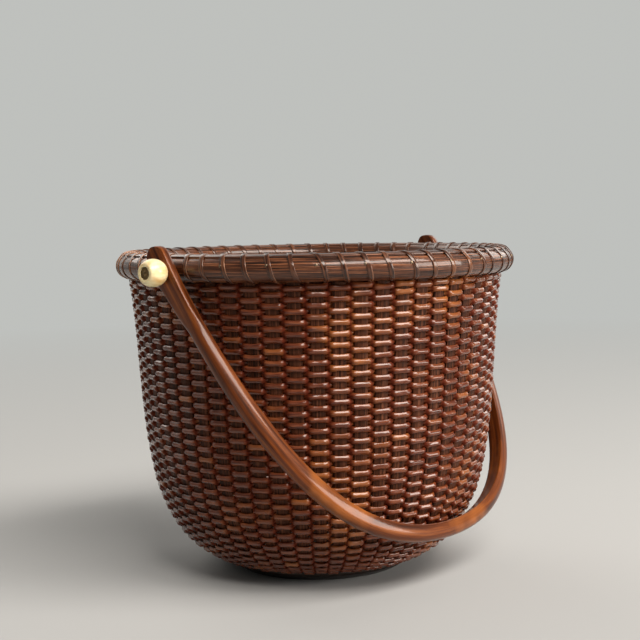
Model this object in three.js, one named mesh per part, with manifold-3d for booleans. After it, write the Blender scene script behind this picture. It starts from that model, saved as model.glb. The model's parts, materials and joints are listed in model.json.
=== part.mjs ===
// An eight-inch lightship basket: turned wooden base, tapered staves, woven wall, lashed
// half-round rim, and a bent-wood swing handle on two pins with turned bone knobs.
// Lengths are millimetres, +Z is up, the origin is the middle of the base where it stands.
// The handle's pivot runs along X, and at rest the handle leans on the wall towards -Y.
import * as THREE from "three";
import { mergeVertices } from "three/addons/utils/BufferGeometryUtils.js";
import Module from "manifold-3d";

const wasm = await Module();
wasm.setup();

// Driving dimensions: the basket as a whole.
const rimOuterRadius = 101.6;
const staveCount = 57;

// Clearances.
const seatGap = 0.3;
const handleRestGap = 0.35;
const earSideGap = 0.35;
const cutOverrun = 2;

// The turned base: a bevelled disc with a groove round its edge for the staves.
const baseRadius = 48;
const baseFootRadius = 42.5;
const baseBevelHeight = 3.2;
const baseLowerThickness = 5.1;
const baseUpperRadius = 46.5;
const baseUpperThickness = 4.4;
const baseEdgeRounding = 1.2;
const baseGrooveDepth = 6.4;
const baseGrooveSlack = 0.3;
const baseRingRadius = 30;
const baseRingWidth = 5;
const baseRingDepth = 1.1;
const baseSegments = 46;

// The wall's middle line in (radius, height), as two curves that meet at the belly.
const wallFootRadius = 49.6;
const wallFootHeight = 6.4;
const wallFootPull = 8.7;
const wallFootRiseShare = 0.264;
const bellyRadius = 83;
const bellyHeight = 49.3;
const bellyLowerPull = 31.5;
const bellyUpperPull = 30.9;
const bellyLeanShare = 0.224;
const wallTopLeanShare = 0.139;
const wallTopPull = 36;
const wallThickness = 3.9;
const wallInsideSteps = 7;
const weaveRounds = 60;
const weaveRelief = 1.2;

// The staves.
const staveThickness = 1.2;
const staveFootWidth = 3.5;
const staveBellyWidth = 5;
const staveTopWidth = 5;
const staveSteps = 80;

// The rim: an outer and an inner hoop clamp the staves, a cap strip covers their ends.
const rimWidth = 13.2;
const rimHeight = 13;
const rimFlatShare = 0.42;
const hoopHeight = 11.5;
const hoopSegments = 57;
const rimBottomHeight = 150.2;
const staveInset = 1.26;

// The lashing: one band of cane that winds once for each gap between two staves.
const lashWidth = 2.4;
const lashThickness = 0.7;
const lashStartShare = 0.25;
const lashDodgeGap = 0.1;
const lashDodgeReachShare = 0.35;
const lashDodgeSharpShare = 0.2;

// The pivot: a pin with an inner head and a washer on each side, through a bone knob.
const pivotRise = 5.2;
const pinRadius = 1.8;
const pinHeadRadius = 2.7;
const pinHeadThickness = 1;
const pinEndRadius = 2.15;
const pinEndThickness = 0.6;
const pinSegments = 12;
const washerRadius = 3;
const washerThickness = 0.8;

// The knobs.
const knobRadius = 6.5;
const knobLength = 10.6;
const knobFaceRadius = 4.4;
const knobRecessRadius = 2.9;
const knobRecessDepth = 1.4;
const knobSegments = 20;
const knobSwellSteps = 6;

// The handle: flat ears at the pins, fuller legs, and a loop that hangs in one plane.
const handleDepth = 152.5;
const handleLegPull = 108.8;
const handleLegLean = 4.9;
const handleGripPull = 67;
const earThickness = 4.4;
const earWidth = 9;
const earReach = 13.5;
const shoulderThickness = 6.4;
const shoulderWidth = 9;
const legThickness = 8.2;
const legWidth = 8.6;
const gripThickness = 7.2;
const gripWidth = 8.6;
const handleRoundness = 4;
const handleSides = 10;
const handleSteps = 30;
const handleStepsCrowding = 1.15;
const earEndSteps = 4;
const wallFaceSteps = 80;
const halvings = 22;

// Heights and radii that the rim shares with its neighbours.
const stavePitch = (2 * Math.PI) / staveCount;
const lashDepth = seatGap + lashThickness;
const wallTopHeight = rimBottomHeight - lashDepth - seatGap;
const rimMiddleRadius = rimOuterRadius - rimWidth / 2;
const rimMiddleHeight = rimBottomHeight + rimHeight / 2;
const hoopTopHeight = rimBottomHeight + hoopHeight;
const staveTopRadius = rimMiddleRadius - staveInset;
const wallTopRadius = staveTopRadius - wallTopLeanShare * lashDepth;
const pivotHeight = rimBottomHeight + pivotRise;
const hoopFaceOffset = staveThickness / 2 + seatGap;
const grooveHeight = baseLowerThickness + seatGap + staveThickness / 2;
const grooveFloorRadius = baseRadius - baseGrooveDepth;
const rimInnerRadius = rimOuterRadius - rimWidth;
const earInnerFace = rimOuterRadius + lashDepth + earSideGap;
const earMiddle = earInnerFace + earThickness / 2;
const knobInnerFace = earInnerFace + earThickness + seatGap;
const boreRadius = pinRadius + seatGap;

// Materials.
function finish(color, roughness) {
  return new THREE.MeshStandardMaterial({ color, roughness, metalness: 0 });
}
const caneStained = finish(0x4a1f12, 0.35);
const caneLashing = finish(0x5b2c1b, 0.35);
const hoopWood = finish(0x54301f, 0.4);
const baseWood = finish(0x1e1611, 0.45);
const handleWood = finish(0x4a2110, 0.25);
const bone = finish(0xf4e8c8, 0.35);
const brass = new THREE.MeshStandardMaterial({ color: 0x6e4a22, roughness: 0.45, metalness: 0.9 });

// Geometry helpers: a closed surface with its faces out, and its solid for cuts and joins.
function closedSurface(positions, indices) {
  const raw = new THREE.BufferGeometry();
  raw.setAttribute("position", new THREE.Float32BufferAttribute(positions, 3));
  raw.setIndex(indices);
  const merged = mergeVertices(raw);
  const p = merged.attributes.position;
  const index = merged.index.array;
  const [a, b, c] = [new THREE.Vector3(), new THREE.Vector3(), new THREE.Vector3()];
  let volume = 0;
  for (let i = 0; i < index.length; i += 3) {
    a.fromBufferAttribute(p, index[i]);
    b.fromBufferAttribute(p, index[i + 1]);
    c.fromBufferAttribute(p, index[i + 2]);
    volume += a.dot(b.cross(c));
  }
  if (volume < 0) {
    for (let i = 0; i < index.length; i += 3) {
      [index[i + 1], index[i + 2]] = [index[i + 2], index[i + 1]];
    }
  }
  return merged;
}

function toSolid(geometry) {
  return new wasm.Manifold(
    new wasm.Mesh({
      numProp: 3,
      vertProperties: new Float32Array(geometry.attributes.position.array),
      triVerts: new Uint32Array(geometry.index.array),
    }),
  );
}

function toGeometry(solid) {
  const mesh = solid.getMesh();
  const geometry = new THREE.BufferGeometry();
  geometry.setAttribute("position", new THREE.BufferAttribute(mesh.vertProperties, 3));
  geometry.setIndex(new THREE.BufferAttribute(mesh.triVerts, 1));
  return geometry;
}

// A skin over rings of points: round and round again if it closes, or with its ends capped.
function loft(rings, closes = false) {
  const positions = [];
  const indices = [];
  const sides = rings[0].length;
  rings.flat().forEach((point) => positions.push(point.x, point.y, point.z));
  const spans = closes ? rings.length : rings.length - 1;
  for (let i = 0; i < spans; i++) {
    const here = i * sides;
    const next = ((i + 1) % rings.length) * sides;
    for (let j = 0; j < sides; j++) {
      const k = (j + 1) % sides;
      indices.push(here + j, here + k, next + k, here + j, next + k, next + j);
    }
  }
  if (!closes) {
    const last = (rings.length - 1) * sides;
    for (let j = 1; j < sides - 1; j++) {
      indices.push(0, j + 1, j, last, last + j, last + j + 1);
    }
  }
  return closedSurface(positions, indices);
}

// A turned piece: its profile is a list of [radius, height] points round its section.
function turned(profile, segments, touchesAxis = false) {
  const outline = profile.map(([radius, height]) => new THREE.Vector2(radius, height));
  if (!touchesAxis) outline.push(outline[0].clone());
  const lathe = new THREE.LatheGeometry(outline, segments);
  lathe.deleteAttribute("normal");
  lathe.deleteAttribute("uv");
  lathe.rotateX(Math.PI / 2);
  const merged = mergeVertices(lathe);
  const index = [];
  for (let i = 0; i < merged.index.count; i += 3) {
    const [a, b, c] = [0, 1, 2].map((k) => merged.index.array[i + k]);
    if (a !== b && b !== c && a !== c) index.push(a, b, c);
  }
  return closedSurface(Array.from(merged.attributes.position.array), index);
}

function cutBy(geometry, ...cutters) {
  let solid = toSolid(geometry);
  cutters.forEach((cutter) => {
    solid = solid.subtract(toSolid(cutter));
  });
  return toGeometry(solid);
}

// A turned piece laid along X, its height pointing away from the basket on that side.
function layAlongX(geometry, side) {
  geometry.rotateY((side * Math.PI) / 2);
  return geometry;
}

function onCircle(radius, angle, height) {
  return new THREE.Vector3(radius * Math.cos(angle), radius * Math.sin(angle), height);
}

const basket = new THREE.Group();
const handleGroup = new THREE.Group();
basket.add(handleGroup);

function add(parent, name, geometry, material) {
  const mesh = new THREE.Mesh(geometry, material);
  mesh.name = name;
  parent.add(mesh);
}

// The base disc.
function makeBase() {
  const grooveTop = grooveHeight + staveThickness / 2 + seatGap + baseGrooveSlack;
  const top = grooveTop + baseUpperThickness;
  const innerRing = baseRingRadius - baseRingWidth;
  return turned(
    [
      [0, 0],
      [baseFootRadius, 0],
      [baseRadius, baseBevelHeight],
      [baseRadius, baseLowerThickness],
      [grooveFloorRadius, baseLowerThickness],
      [grooveFloorRadius, grooveTop],
      [baseUpperRadius, grooveTop],
      [baseUpperRadius, top - baseEdgeRounding],
      [baseUpperRadius - baseEdgeRounding, top],
      [baseRingRadius, top],
      [baseRingRadius - baseRingDepth, top - baseRingDepth],
      [innerRing + baseRingDepth, top - baseRingDepth],
      [innerRing, top],
      [0, top],
    ],
    baseSegments,
    true,
  );
}
add(basket, "base_disc", makeBase(), baseWood);

// The wall's middle line.
const bellyPoint = new THREE.Vector2(bellyRadius, bellyHeight);
const bellyAlong = new THREE.Vector2(bellyLeanShare, 1).normalize();
const wallTopPoint = new THREE.Vector2(wallTopRadius, wallTopHeight);
const wallTopAlong = new THREE.Vector2(wallTopLeanShare, 1).normalize();
const wallFootPoint = new THREE.Vector2(wallFootRadius, wallFootHeight);
const wallFootAlong = new THREE.Vector2(1, wallFootRiseShare).normalize();
const lowerWall = new THREE.CubicBezierCurve(
  wallFootPoint,
  wallFootPoint.clone().addScaledVector(wallFootAlong, wallFootPull),
  bellyPoint.clone().addScaledVector(bellyAlong, -bellyLowerPull),
  bellyPoint,
);
const upperWall = new THREE.CubicBezierCurve(
  bellyPoint,
  bellyPoint.clone().addScaledVector(bellyAlong, bellyUpperPull),
  wallTopPoint.clone().addScaledVector(wallTopAlong, -wallTopPull),
  wallTopPoint,
);

const wallLine = new THREE.CurvePath();
wallLine.add(lowerWall);
wallLine.add(upperWall);
const bellyShare = lowerWall.getLength() / wallLine.getLength();

// A point at a share of the middle line's length, and the direction out of the basket there.
function wallPlace(share) {
  const along = wallLine.getTangent(share);
  return { point: wallLine.getPoint(share), out: new THREE.Vector2(along.y, -along.x) };
}

// The woven wall's skin. Outside, the weaver climbs as one spiral with a point at each
// crossing. It stands out over every second stave, and as the staves are odd in number,
// each round stands out where the last one sank. The inside has plain rings.
function makeWallSkin() {
  const crest = wallThickness / 2;
  const hollow = crest - weaveRelief;
  const points = [];
  const indices = [];
  const addPoint = (share, number, offset) => {
    const { point, out } = wallPlace(share);
    const flat = point.addScaledVector(out, offset);
    points.push(onCircle(flat.x, number * stavePitch, flat.y));
  };
  const addRing = (share, offset) => {
    for (let number = 0; number < staveCount; number++) addPoint(share, number, offset);
  };
  const addQuad = (a, b, c, d) => indices.push(a, b, c, a, c, d);

  const crossings = weaveRounds * staveCount;
  addRing(0, hollow);
  for (let n = 0; n <= crossings; n++) {
    const share = (1 / 2 + n / staveCount) / (weaveRounds + 1);
    addPoint(share, n, n % 2 === 0 ? crest : hollow);
  }
  addRing(1, hollow);
  for (let i = wallInsideSteps; i >= 0; i--) {
    addRing(i / wallInsideSteps, weaveRelief / 2 - crest);
  }

  const spiral = staveCount;
  const lastRound = spiral + crossings - staveCount;
  const top = spiral + crossings + 1;
  for (let number = 0; number < staveCount; number++) {
    const next = (number + 1) % staveCount;
    addQuad(number, next, spiral + number + 1, spiral + number);
    addQuad(lastRound + number, lastRound + number + 1, top + next, top + number);
    for (let i = 0; i <= wallInsideSteps + 1; i++) {
      const ring = top + i * staveCount;
      const ringAfter = i <= wallInsideSteps ? ring + staveCount : 0;
      addQuad(ring + number, ring + next, ringAfter + next, ringAfter + number);
    }
  }
  indices.push(0, spiral, spiral + staveCount);
  indices.push(top, lastRound + staveCount, lastRound);
  for (let n = spiral; n < lastRound; n++) {
    const corners = [n, n + 1, n + 1 + staveCount, n + staveCount];
    if (n % 2 !== spiral % 2) corners.push(corners.shift());
    addQuad(...corners);
  }
  return closedSurface(points.flatMap((point) => point.toArray()), indices);
}

// One stave, from the base's groove, up inside the weave, to its end between the hoops.
function makeStave(number) {
  const angle = number * stavePitch;
  const across = new THREE.Vector3(-Math.sin(angle), Math.cos(angle), 0);
  const up = new THREE.Vector2(0, -1);
  const level = new THREE.Vector2(1, 0);
  const path = [
    { point: new THREE.Vector2(grooveFloorRadius + seatGap, grooveHeight), out: up, share: 0 },
  ];
  for (let i = 0; i < staveSteps; i++) {
    const share = (i + 1 / 2) / staveSteps;
    path.push({ ...wallPlace(share), share });
  }
  const end = new THREE.Vector2(staveTopRadius, hoopTopHeight - seatGap);
  path.push({ point: end, out: level, share: 1 });
  const rings = path.map(({ point, out, share }) => {
    const width = share < bellyShare
      ? THREE.MathUtils.mapLinear(share, 0, bellyShare, staveFootWidth, staveBellyWidth)
      : THREE.MathUtils.mapLinear(share, bellyShare, 1, staveBellyWidth, staveTopWidth);
    const edge = (side, turn) => {
      const flat = point.clone().addScaledVector(out, (side * staveThickness) / 2);
      return onCircle(flat.x, angle, flat.y).addScaledVector(across, (turn * width) / 2);
    };
    return [edge(1, -1), edge(1, 1), edge(-1, 1), edge(-1, -1)];
  });
  return loft(rings);
}

// A cylinder along X through both pivots, for bores in what the pins pass.
function pivotBore() {
  const bore = new THREE.CylinderGeometry(
    boreRadius,
    boreRadius,
    2 * (knobInnerFace + knobLength + cutOverrun),
    pinSegments,
  );
  bore.deleteAttribute("normal");
  bore.deleteAttribute("uv");
  bore.rotateZ(Math.PI / 2);
  bore.translate(0, 0, pivotHeight);
  const merged = mergeVertices(bore);
  return closedSurface(Array.from(merged.attributes.position.array), Array.from(merged.index.array));
}

function makeWall() {
  const parts = [toSolid(makeWallSkin())];
  for (let number = 0; number < staveCount; number++) parts.push(toSolid(makeStave(number)));
  const joined = wasm.Manifold.union(parts);
  return toGeometry(joined.subtract(toSolid(pivotBore())));
}
add(basket, "woven_wall", makeWall(), caneStained);

// The rim's rounded outline: half its width and height, and where its sloped corners begin.
const rimHalfWidth = rimWidth / 2;
const rimHalfHeight = rimHeight / 2;
const rimFlatHeight = rimFlatShare * rimHalfHeight;
const rimFlatWidth = rimFlatShare * rimHalfWidth;

// How far the outline's sloped corner lies from the rim's middle at a height above it.
function cornerWidthAt(height) {
  const share = (height - rimFlatHeight) / (rimHalfHeight - rimFlatHeight);
  return THREE.MathUtils.lerp(rimHalfWidth, rimFlatWidth, share);
}

// An outer hoop has side 1, an inner one has side -1.
function makeHoop(side) {
  const face = staveTopRadius + side * hoopFaceOffset;
  const at = (offset) => rimMiddleRadius + side * offset;
  const topWidth = cornerWidthAt(hoopTopHeight - rimMiddleHeight);
  const hoop = turned(
    [
      [face, rimBottomHeight],
      [at(rimFlatWidth), rimBottomHeight],
      [at(rimHalfWidth), rimMiddleHeight - rimFlatHeight],
      [at(rimHalfWidth), rimMiddleHeight + rimFlatHeight],
      [at(topWidth), hoopTopHeight],
      [face, hoopTopHeight],
    ],
    hoopSegments,
  );
  return cutBy(hoop, pivotBore());
}
add(basket, "outer_hoop", makeHoop(1), hoopWood);
add(basket, "inner_hoop", makeHoop(-1), hoopWood);

// The cap strip lies on both hoops and hides the ends of the staves.
function makeCap() {
  const bottom = hoopTopHeight + seatGap;
  const top = rimMiddleHeight + rimHalfHeight;
  const halfWidth = cornerWidthAt(bottom - rimMiddleHeight);
  return turned(
    [
      [rimMiddleRadius - halfWidth, bottom],
      [rimMiddleRadius + halfWidth, bottom],
      [rimMiddleRadius + rimFlatWidth, top],
      [rimMiddleRadius - rimFlatWidth, top],
    ],
    hoopSegments,
  );
}
add(basket, "rim_cap", makeCap(), hoopWood);

// The lashing steps aside where a pin goes through the rim, to clear the inner washer.
const lashDodge = washerRadius + lashWidth / 2 + lashDodgeGap;
const lashDodgeShare = lashDodge / (rimInnerRadius * stavePitch);

function lashPhase(turns) {
  let phase = lashStartShare + turns;
  [0, staveCount / 2].forEach((pinPhase) => {
    let away = lashStartShare + turns - pinPhase;
    away -= staveCount * Math.round(away / staveCount);
    const near = Math.exp(-((away / lashDodgeReachShare) ** 2));
    phase += lashDodgeShare * Math.tanh(away / lashDodgeSharpShare) * near;
  });
  return phase;
}

// The outline's corners in the order that the band meets them: down the outside, in
// under the hoops, up the inside and out over the cap.
function lashCorners(gap) {
  const slip = gap * Math.tan(Math.PI / 8);
  const wide = rimHalfWidth + gap;
  const high = rimHalfHeight + gap;
  const flatWide = rimFlatWidth + slip;
  const flatHigh = rimFlatHeight + slip;
  return [
    [wide, -flatHigh],
    [flatWide, -high],
    [-flatWide, -high],
    [-wide, -flatHigh],
    [-wide, flatHigh],
    [-flatWide, high],
    [flatWide, high],
    [wide, flatHigh],
  ];
}

function makeLashing() {
  const under = lashCorners(seatGap);
  const over = lashCorners(lashDepth);
  const corners = under.length;
  const rings = [];
  for (let step = 0; step < staveCount * corners; step++) {
    const corner = step % corners;
    const angle = lashPhase((step + 1 / 2) / corners) * stavePitch;
    const edge = ([offset, height], side) => {
      const radius = rimMiddleRadius + offset;
      const turn = angle + (side * lashWidth) / 2 / radius;
      return onCircle(radius, turn, rimMiddleHeight + height);
    };
    rings.push([edge(under[corner], -1), edge(under[corner], 1), edge(over[corner], 0)]);
  }
  return loft(rings, true);
}
add(basket, "rim_lashing", makeLashing(), caneLashing);

// The pivot hardware is turned along X, with the same pieces on both sides.
function makePin() {
  const headTop = rimInnerRadius - seatGap - washerThickness - seatGap - pinHeadThickness;
  const headBottom = headTop + pinHeadThickness;
  const endBottom = knobInnerFace + knobLength - knobRecessDepth + seatGap;
  return turned(
    [
      [0, headTop],
      [pinHeadRadius - pinHeadThickness / 2, headTop],
      [pinHeadRadius, headTop + pinHeadThickness / 2],
      [pinHeadRadius, headBottom],
      [pinRadius, headBottom],
      [pinRadius, endBottom],
      [pinEndRadius, endBottom],
      [pinEndRadius, endBottom + pinEndThickness / 2],
      [pinRadius, endBottom + pinEndThickness],
      [0, endBottom + pinEndThickness],
    ],
    pinSegments,
    true,
  );
}

function makeWasher() {
  const outside = rimInnerRadius - seatGap;
  return turned(
    [
      [boreRadius, outside - washerThickness],
      [washerRadius, outside - washerThickness],
      [washerRadius, outside],
      [boreRadius, outside],
    ],
    pinSegments,
  );
}

// The knob swells like a barrel and has a recess in its outer face for the pin's end.
function makeKnob() {
  const inner = knobInnerFace;
  const outer = knobInnerFace + knobLength;
  const swell = new THREE.EllipseCurve(
    0,
    (inner + outer) / 2,
    knobRadius,
    knobLength / 2,
    -Math.acos(knobFaceRadius / knobRadius),
    Math.acos(knobFaceRadius / knobRadius),
  );
  const ends = swell.getPoint(0).y;
  const stretch = (inner - (inner + outer) / 2) / (ends - (inner + outer) / 2);
  const side = swell.getPoints(knobSwellSteps).map((point) => {
    const height = (inner + outer) / 2 + (point.y - (inner + outer) / 2) * stretch;
    return [point.x, height];
  });
  return turned(
    [
      [boreRadius, inner],
      ...side,
      [knobRecessRadius, outer],
      [knobRecessRadius, outer - knobRecessDepth],
      [boreRadius, outer - knobRecessDepth],
    ],
    knobSegments,
  );
}

[
  ["left", -1],
  ["right", 1],
].forEach(([sideName, side]) => {
  const fitting = new THREE.Group();
  fitting.position.z = pivotHeight;
  basket.add(fitting);
  add(fitting, "pivot_pin_" + sideName, layAlongX(makePin(), side), brass);
  add(fitting, "inner_washer_" + sideName, layAlongX(makeWasher(), side), brass);
  add(fitting, "knob_" + sideName, layAlongX(makeKnob(), side), bone);
});

// The handle's middle line in its own plane: x across the basket, y down from the pivot.
const earLine = new THREE.Vector2(earMiddle, 0);
const gripPoint = new THREE.Vector2(0, handleDepth);
const legCurve = new THREE.CubicBezierCurve(
  earLine,
  new THREE.Vector2(earMiddle - handleLegLean, handleLegPull),
  new THREE.Vector2(handleGripPull, handleDepth),
  gripPoint,
);

// The section's width and thickness along one leg, from the shoulder (0) to the grip (1).
const sectionShares = [0, 0.06, 0.16, 0.4, 1];
const sectionThicknesses = [
  earThickness,
  earThickness,
  shoulderThickness,
  legThickness,
  gripThickness,
];
const sectionWidths = [earWidth, earWidth, shoulderWidth, legWidth, gripWidth];

function alongLeg(share, values) {
  const i = Math.max(1, sectionShares.findIndex((at) => share <= at));
  const [from, to] = [sectionShares[i - 1], sectionShares[i]];
  return THREE.MathUtils.lerp(values[i - 1], values[i], (share - from) / (to - from));
}

// A rounded section in the handle's plane frame, across the line and through the plane.
function handleRing(point, inward, width, thickness) {
  const ring = [];
  for (let j = 0; j < handleSides; j++) {
    const angle = ((j + 1 / 2) / handleSides) * 2 * Math.PI;
    const [c, s] = [Math.cos(angle), Math.sin(angle)];
    const rounded = (value) => Math.sign(value) * Math.abs(value) ** (2 / handleRoundness);
    const across = (rounded(c) * thickness) / 2;
    const through = (rounded(s) * width) / 2;
    const flat = point.clone().addScaledVector(inward, across);
    ring.push(new THREE.Vector3(flat.x, through, -flat.y));
  }
  return ring;
}

// The rounded end of an ear, above the pivot: its width follows a half circle.
function earRings() {
  const rings = [];
  const radius = earWidth / 2;
  for (let i = 0; i <= earEndSteps; i++) {
    const angle = ((i + 1 / 2) / (earEndSteps + 1 / 2)) * (Math.PI / 2);
    const rise = earReach - radius + radius * Math.cos(angle);
    const width = earWidth * Math.sin(angle);
    const point = new THREE.Vector2(earMiddle, -rise);
    rings.push(handleRing(point, new THREE.Vector2(-1, 0), width, earThickness));
  }
  return rings;
}

function legRings() {
  const rings = [];
  for (let i = 0; i <= handleSteps / 2; i++) {
    const share = (i / (handleSteps / 2)) ** handleStepsCrowding;
    const point = legCurve.getPointAt(share);
    const along = legCurve.getTangentAt(share);
    const inward = new THREE.Vector2(-along.y, along.x);
    const width = alongLeg(share, sectionWidths);
    const thickness = alongLeg(share, sectionThicknesses);
    rings.push(handleRing(point, inward, width, thickness));
  }
  return rings;
}

function makeHandle() {
  const half = [...earRings(), ...legRings()];
  const mirrored = half.slice(0, -1).reverse().map((ring) =>
    ring.map((point) => new THREE.Vector3(-point.x, point.y, point.z)));
  const bore = pivotBore();
  bore.translate(0, 0, -pivotHeight);
  return cutBy(loft([...half, ...mirrored]), bore);
}

// The wall's outer face in (radius, height), as short spans over the staves.
function wallFace() {
  const face = [];
  for (let i = 0; i <= wallFaceSteps; i++) {
    const { point, out } = wallPlace(i / wallFaceSteps);
    face.push(point.addScaledVector(out, wallThickness / 2));
  }
  return face;
}

// How far a place lies outside that face, or as a negative number, inside it.
function outsideBy(place, face) {
  let nearest = Infinity;
  let signed = Infinity;
  for (let i = 1; i < face.length; i++) {
    const span = face[i].clone().sub(face[i - 1]);
    const reach = place.clone().sub(face[i - 1]);
    const share = THREE.MathUtils.clamp(reach.dot(span) / span.lengthSq(), 0, 1);
    const distance = reach.distanceTo(span.clone().multiplyScalar(share));
    if (distance < nearest) {
      nearest = distance;
      signed = span.cross(reach) < 0 ? distance : -distance;
    }
  }
  return signed;
}

// The angle at which a leg or the grip comes to lie against the wall, found by halving.
function restSwing() {
  const face = wallFace();
  const corners = legRings().flat();
  const clearance = (swing) => Math.min(...corners.map((corner) => {
    const depth = -corner.y * Math.cos(swing) - corner.z * Math.sin(swing);
    const height = pivotHeight - corner.y * Math.sin(swing) + corner.z * Math.cos(swing);
    return outsideBy(new THREE.Vector2(Math.hypot(corner.x, depth), height), face);
  }));
  let [inside, outside] = [0, Math.PI / 2];
  for (let i = 0; i < halvings; i++) {
    const middle = (inside + outside) / 2;
    if (clearance(middle) < handleRestGap) inside = middle;
    else outside = middle;
  }
  return outside;
}

handleGroup.position.z = pivotHeight;
handleGroup.rotation.x = -restSwing();
add(handleGroup, "swing_handle", makeHandle(), handleWood);

export default basket;
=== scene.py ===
"""A round lightship basket: a woven cane wall on a turned base, with a swing handle.

The pieces are made in the order in which such a basket goes together. Lengths are metres.
"""
import json
import math

import bpy
import numpy as np
from mathutils import Matrix, Vector
from mathutils.geometry import convex_hull_2d, interpolate_bezier


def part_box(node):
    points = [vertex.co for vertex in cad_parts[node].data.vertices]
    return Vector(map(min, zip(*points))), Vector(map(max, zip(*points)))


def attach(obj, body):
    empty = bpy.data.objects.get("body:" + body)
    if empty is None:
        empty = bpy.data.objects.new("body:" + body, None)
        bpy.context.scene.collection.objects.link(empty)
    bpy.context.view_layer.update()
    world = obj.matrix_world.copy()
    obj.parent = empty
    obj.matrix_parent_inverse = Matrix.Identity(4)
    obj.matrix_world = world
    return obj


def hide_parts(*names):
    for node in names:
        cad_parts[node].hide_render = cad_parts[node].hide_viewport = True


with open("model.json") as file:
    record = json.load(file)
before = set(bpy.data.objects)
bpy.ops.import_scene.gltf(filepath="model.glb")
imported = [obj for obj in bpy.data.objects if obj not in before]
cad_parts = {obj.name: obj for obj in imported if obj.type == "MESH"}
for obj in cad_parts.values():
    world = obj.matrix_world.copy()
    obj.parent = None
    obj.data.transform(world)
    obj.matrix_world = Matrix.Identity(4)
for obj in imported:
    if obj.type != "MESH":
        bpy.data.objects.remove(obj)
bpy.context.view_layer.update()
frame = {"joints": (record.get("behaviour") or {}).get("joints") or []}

MM = 0.001

# The camera stands a little above the rim and to the left of the basket's front, 0.71 m
# from its middle. It is tipped down at the wall and leans by one degree.
camera_turn = math.radians(-49.24)
camera_distance = 0.7083
camera_height = 0.1814
look_turn = math.radians(-49.41)
look_down = math.radians(4.49)
camera_lean = math.radians(-1.08)
camera_lens = 77.0

look = Vector((
    -math.sin(look_turn) * math.cos(look_down),
    math.cos(look_turn) * math.cos(look_down),
    -math.sin(look_down),
))
level_right = look.cross(Vector((0, 0, 1))).normalized()
level_up = level_right.cross(look)
lean_right = level_right * math.cos(camera_lean) + level_up * math.sin(camera_lean)
lean_up = level_up * math.cos(camera_lean) - level_right * math.sin(camera_lean)
camera_data = bpy.data.cameras.new("camera")
camera_data.lens = camera_lens
camera = bpy.data.objects.new("camera", camera_data)
bpy.context.collection.objects.link(camera)
camera.matrix_world = Matrix((
    (lean_right.x, lean_up.x, -look.x, camera_distance * math.sin(camera_turn)),
    (lean_right.y, lean_up.y, -look.y, -camera_distance * math.cos(camera_turn)),
    (lean_right.z, lean_up.z, -look.z, camera_height),
    (0, 0, 0, 1),
))
bpy.context.scene.camera = camera

# A pale floor that fades into a pale wall behind the basket. The room on the camera's side
# is dim. Three wide lamps, high in front, on the right and far to the right, put bright
# highlights on the varnish, as windows would, and two weaker ones fill the back.
# What mirrors the room sees its pale wall behind the basket, and less of it elsewhere.
floor_size = 40
floor_roughness = 0.9
floor_color = (0.43, 0.44, 0.44, 1)
room_color = (0.52, 0.53, 0.51, 1)
dim_room = 0.1
mirrored_room = 0.4
wall_begins = 0.4
wall_is_full = 0.9
floor_fade_near = 0.25
floor_fade_far = 1.6
lamp_distance = 2.4
lamp_aim = Vector((0, 0, 80 * MM))
lamp_color = (1, 0.93, 0.86)


def math_node(nodes, link, operation, *values):
    """A maths node on numbers or on other nodes' outputs. It gives its own output."""
    node = nodes.new("ShaderNodeMath")
    node.operation = operation
    for socket, value in zip(node.inputs, values):
        if isinstance(value, (int, float)):
            socket.default_value = value
        else:
            link(value, socket)
    return node.outputs[0]


def range_node(nodes, link, value, from_band=(0, 1), to_band=(0, 1)):
    """A node that carries a value from one band over to another. It gives its output."""
    node = nodes.new("ShaderNodeMapRange")
    node.inputs["From Min"].default_value = from_band[0]
    node.inputs["From Max"].default_value = from_band[1]
    node.inputs["To Min"].default_value = to_band[0]
    node.inputs["To Max"].default_value = to_band[1]
    link(value, node.inputs["Value"])
    return node.outputs["Result"]


bpy.ops.mesh.primitive_plane_add(size=floor_size)
floor = bpy.context.object
floor.name = "floor"
floor_material = bpy.data.materials.new("floor")
floor_material.use_nodes = True
floor_nodes = floor_material.node_tree.nodes
floor_link = floor_material.node_tree.links.new
floor_shader = floor_nodes["Principled BSDF"]
floor_shader.inputs["Base Color"].default_value = floor_color
floor_shader.inputs["Roughness"].default_value = floor_roughness
floor_place = floor_nodes.new("ShaderNodeTexCoord")
floor_reach = floor_nodes.new("ShaderNodeVectorMath")
floor_reach.operation = "LENGTH"
floor_link(floor_place.outputs["Object"], floor_reach.inputs[0])
floor_fade = range_node(
    floor_nodes, floor_link, floor_reach.outputs["Value"], (floor_fade_near, floor_fade_far))
floor_seen = floor_nodes.new("ShaderNodeLightPath")
floor_share = math_node(
    floor_nodes, floor_link, "MULTIPLY", floor_fade, floor_seen.outputs["Is Camera Ray"])
floor_far = floor_nodes.new("ShaderNodeEmission")
floor_far.inputs["Color"].default_value = room_color
floor_mix = floor_nodes.new("ShaderNodeMixShader")
floor_link(floor_share, floor_mix.inputs["Fac"])
floor_link(floor_shader.outputs[0], floor_mix.inputs[1])
floor_link(floor_far.outputs[0], floor_mix.inputs[2])
floor_link(floor_mix.outputs[0], floor_nodes["Material Output"].inputs["Surface"])
floor.data.materials.append(floor_material)

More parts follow.
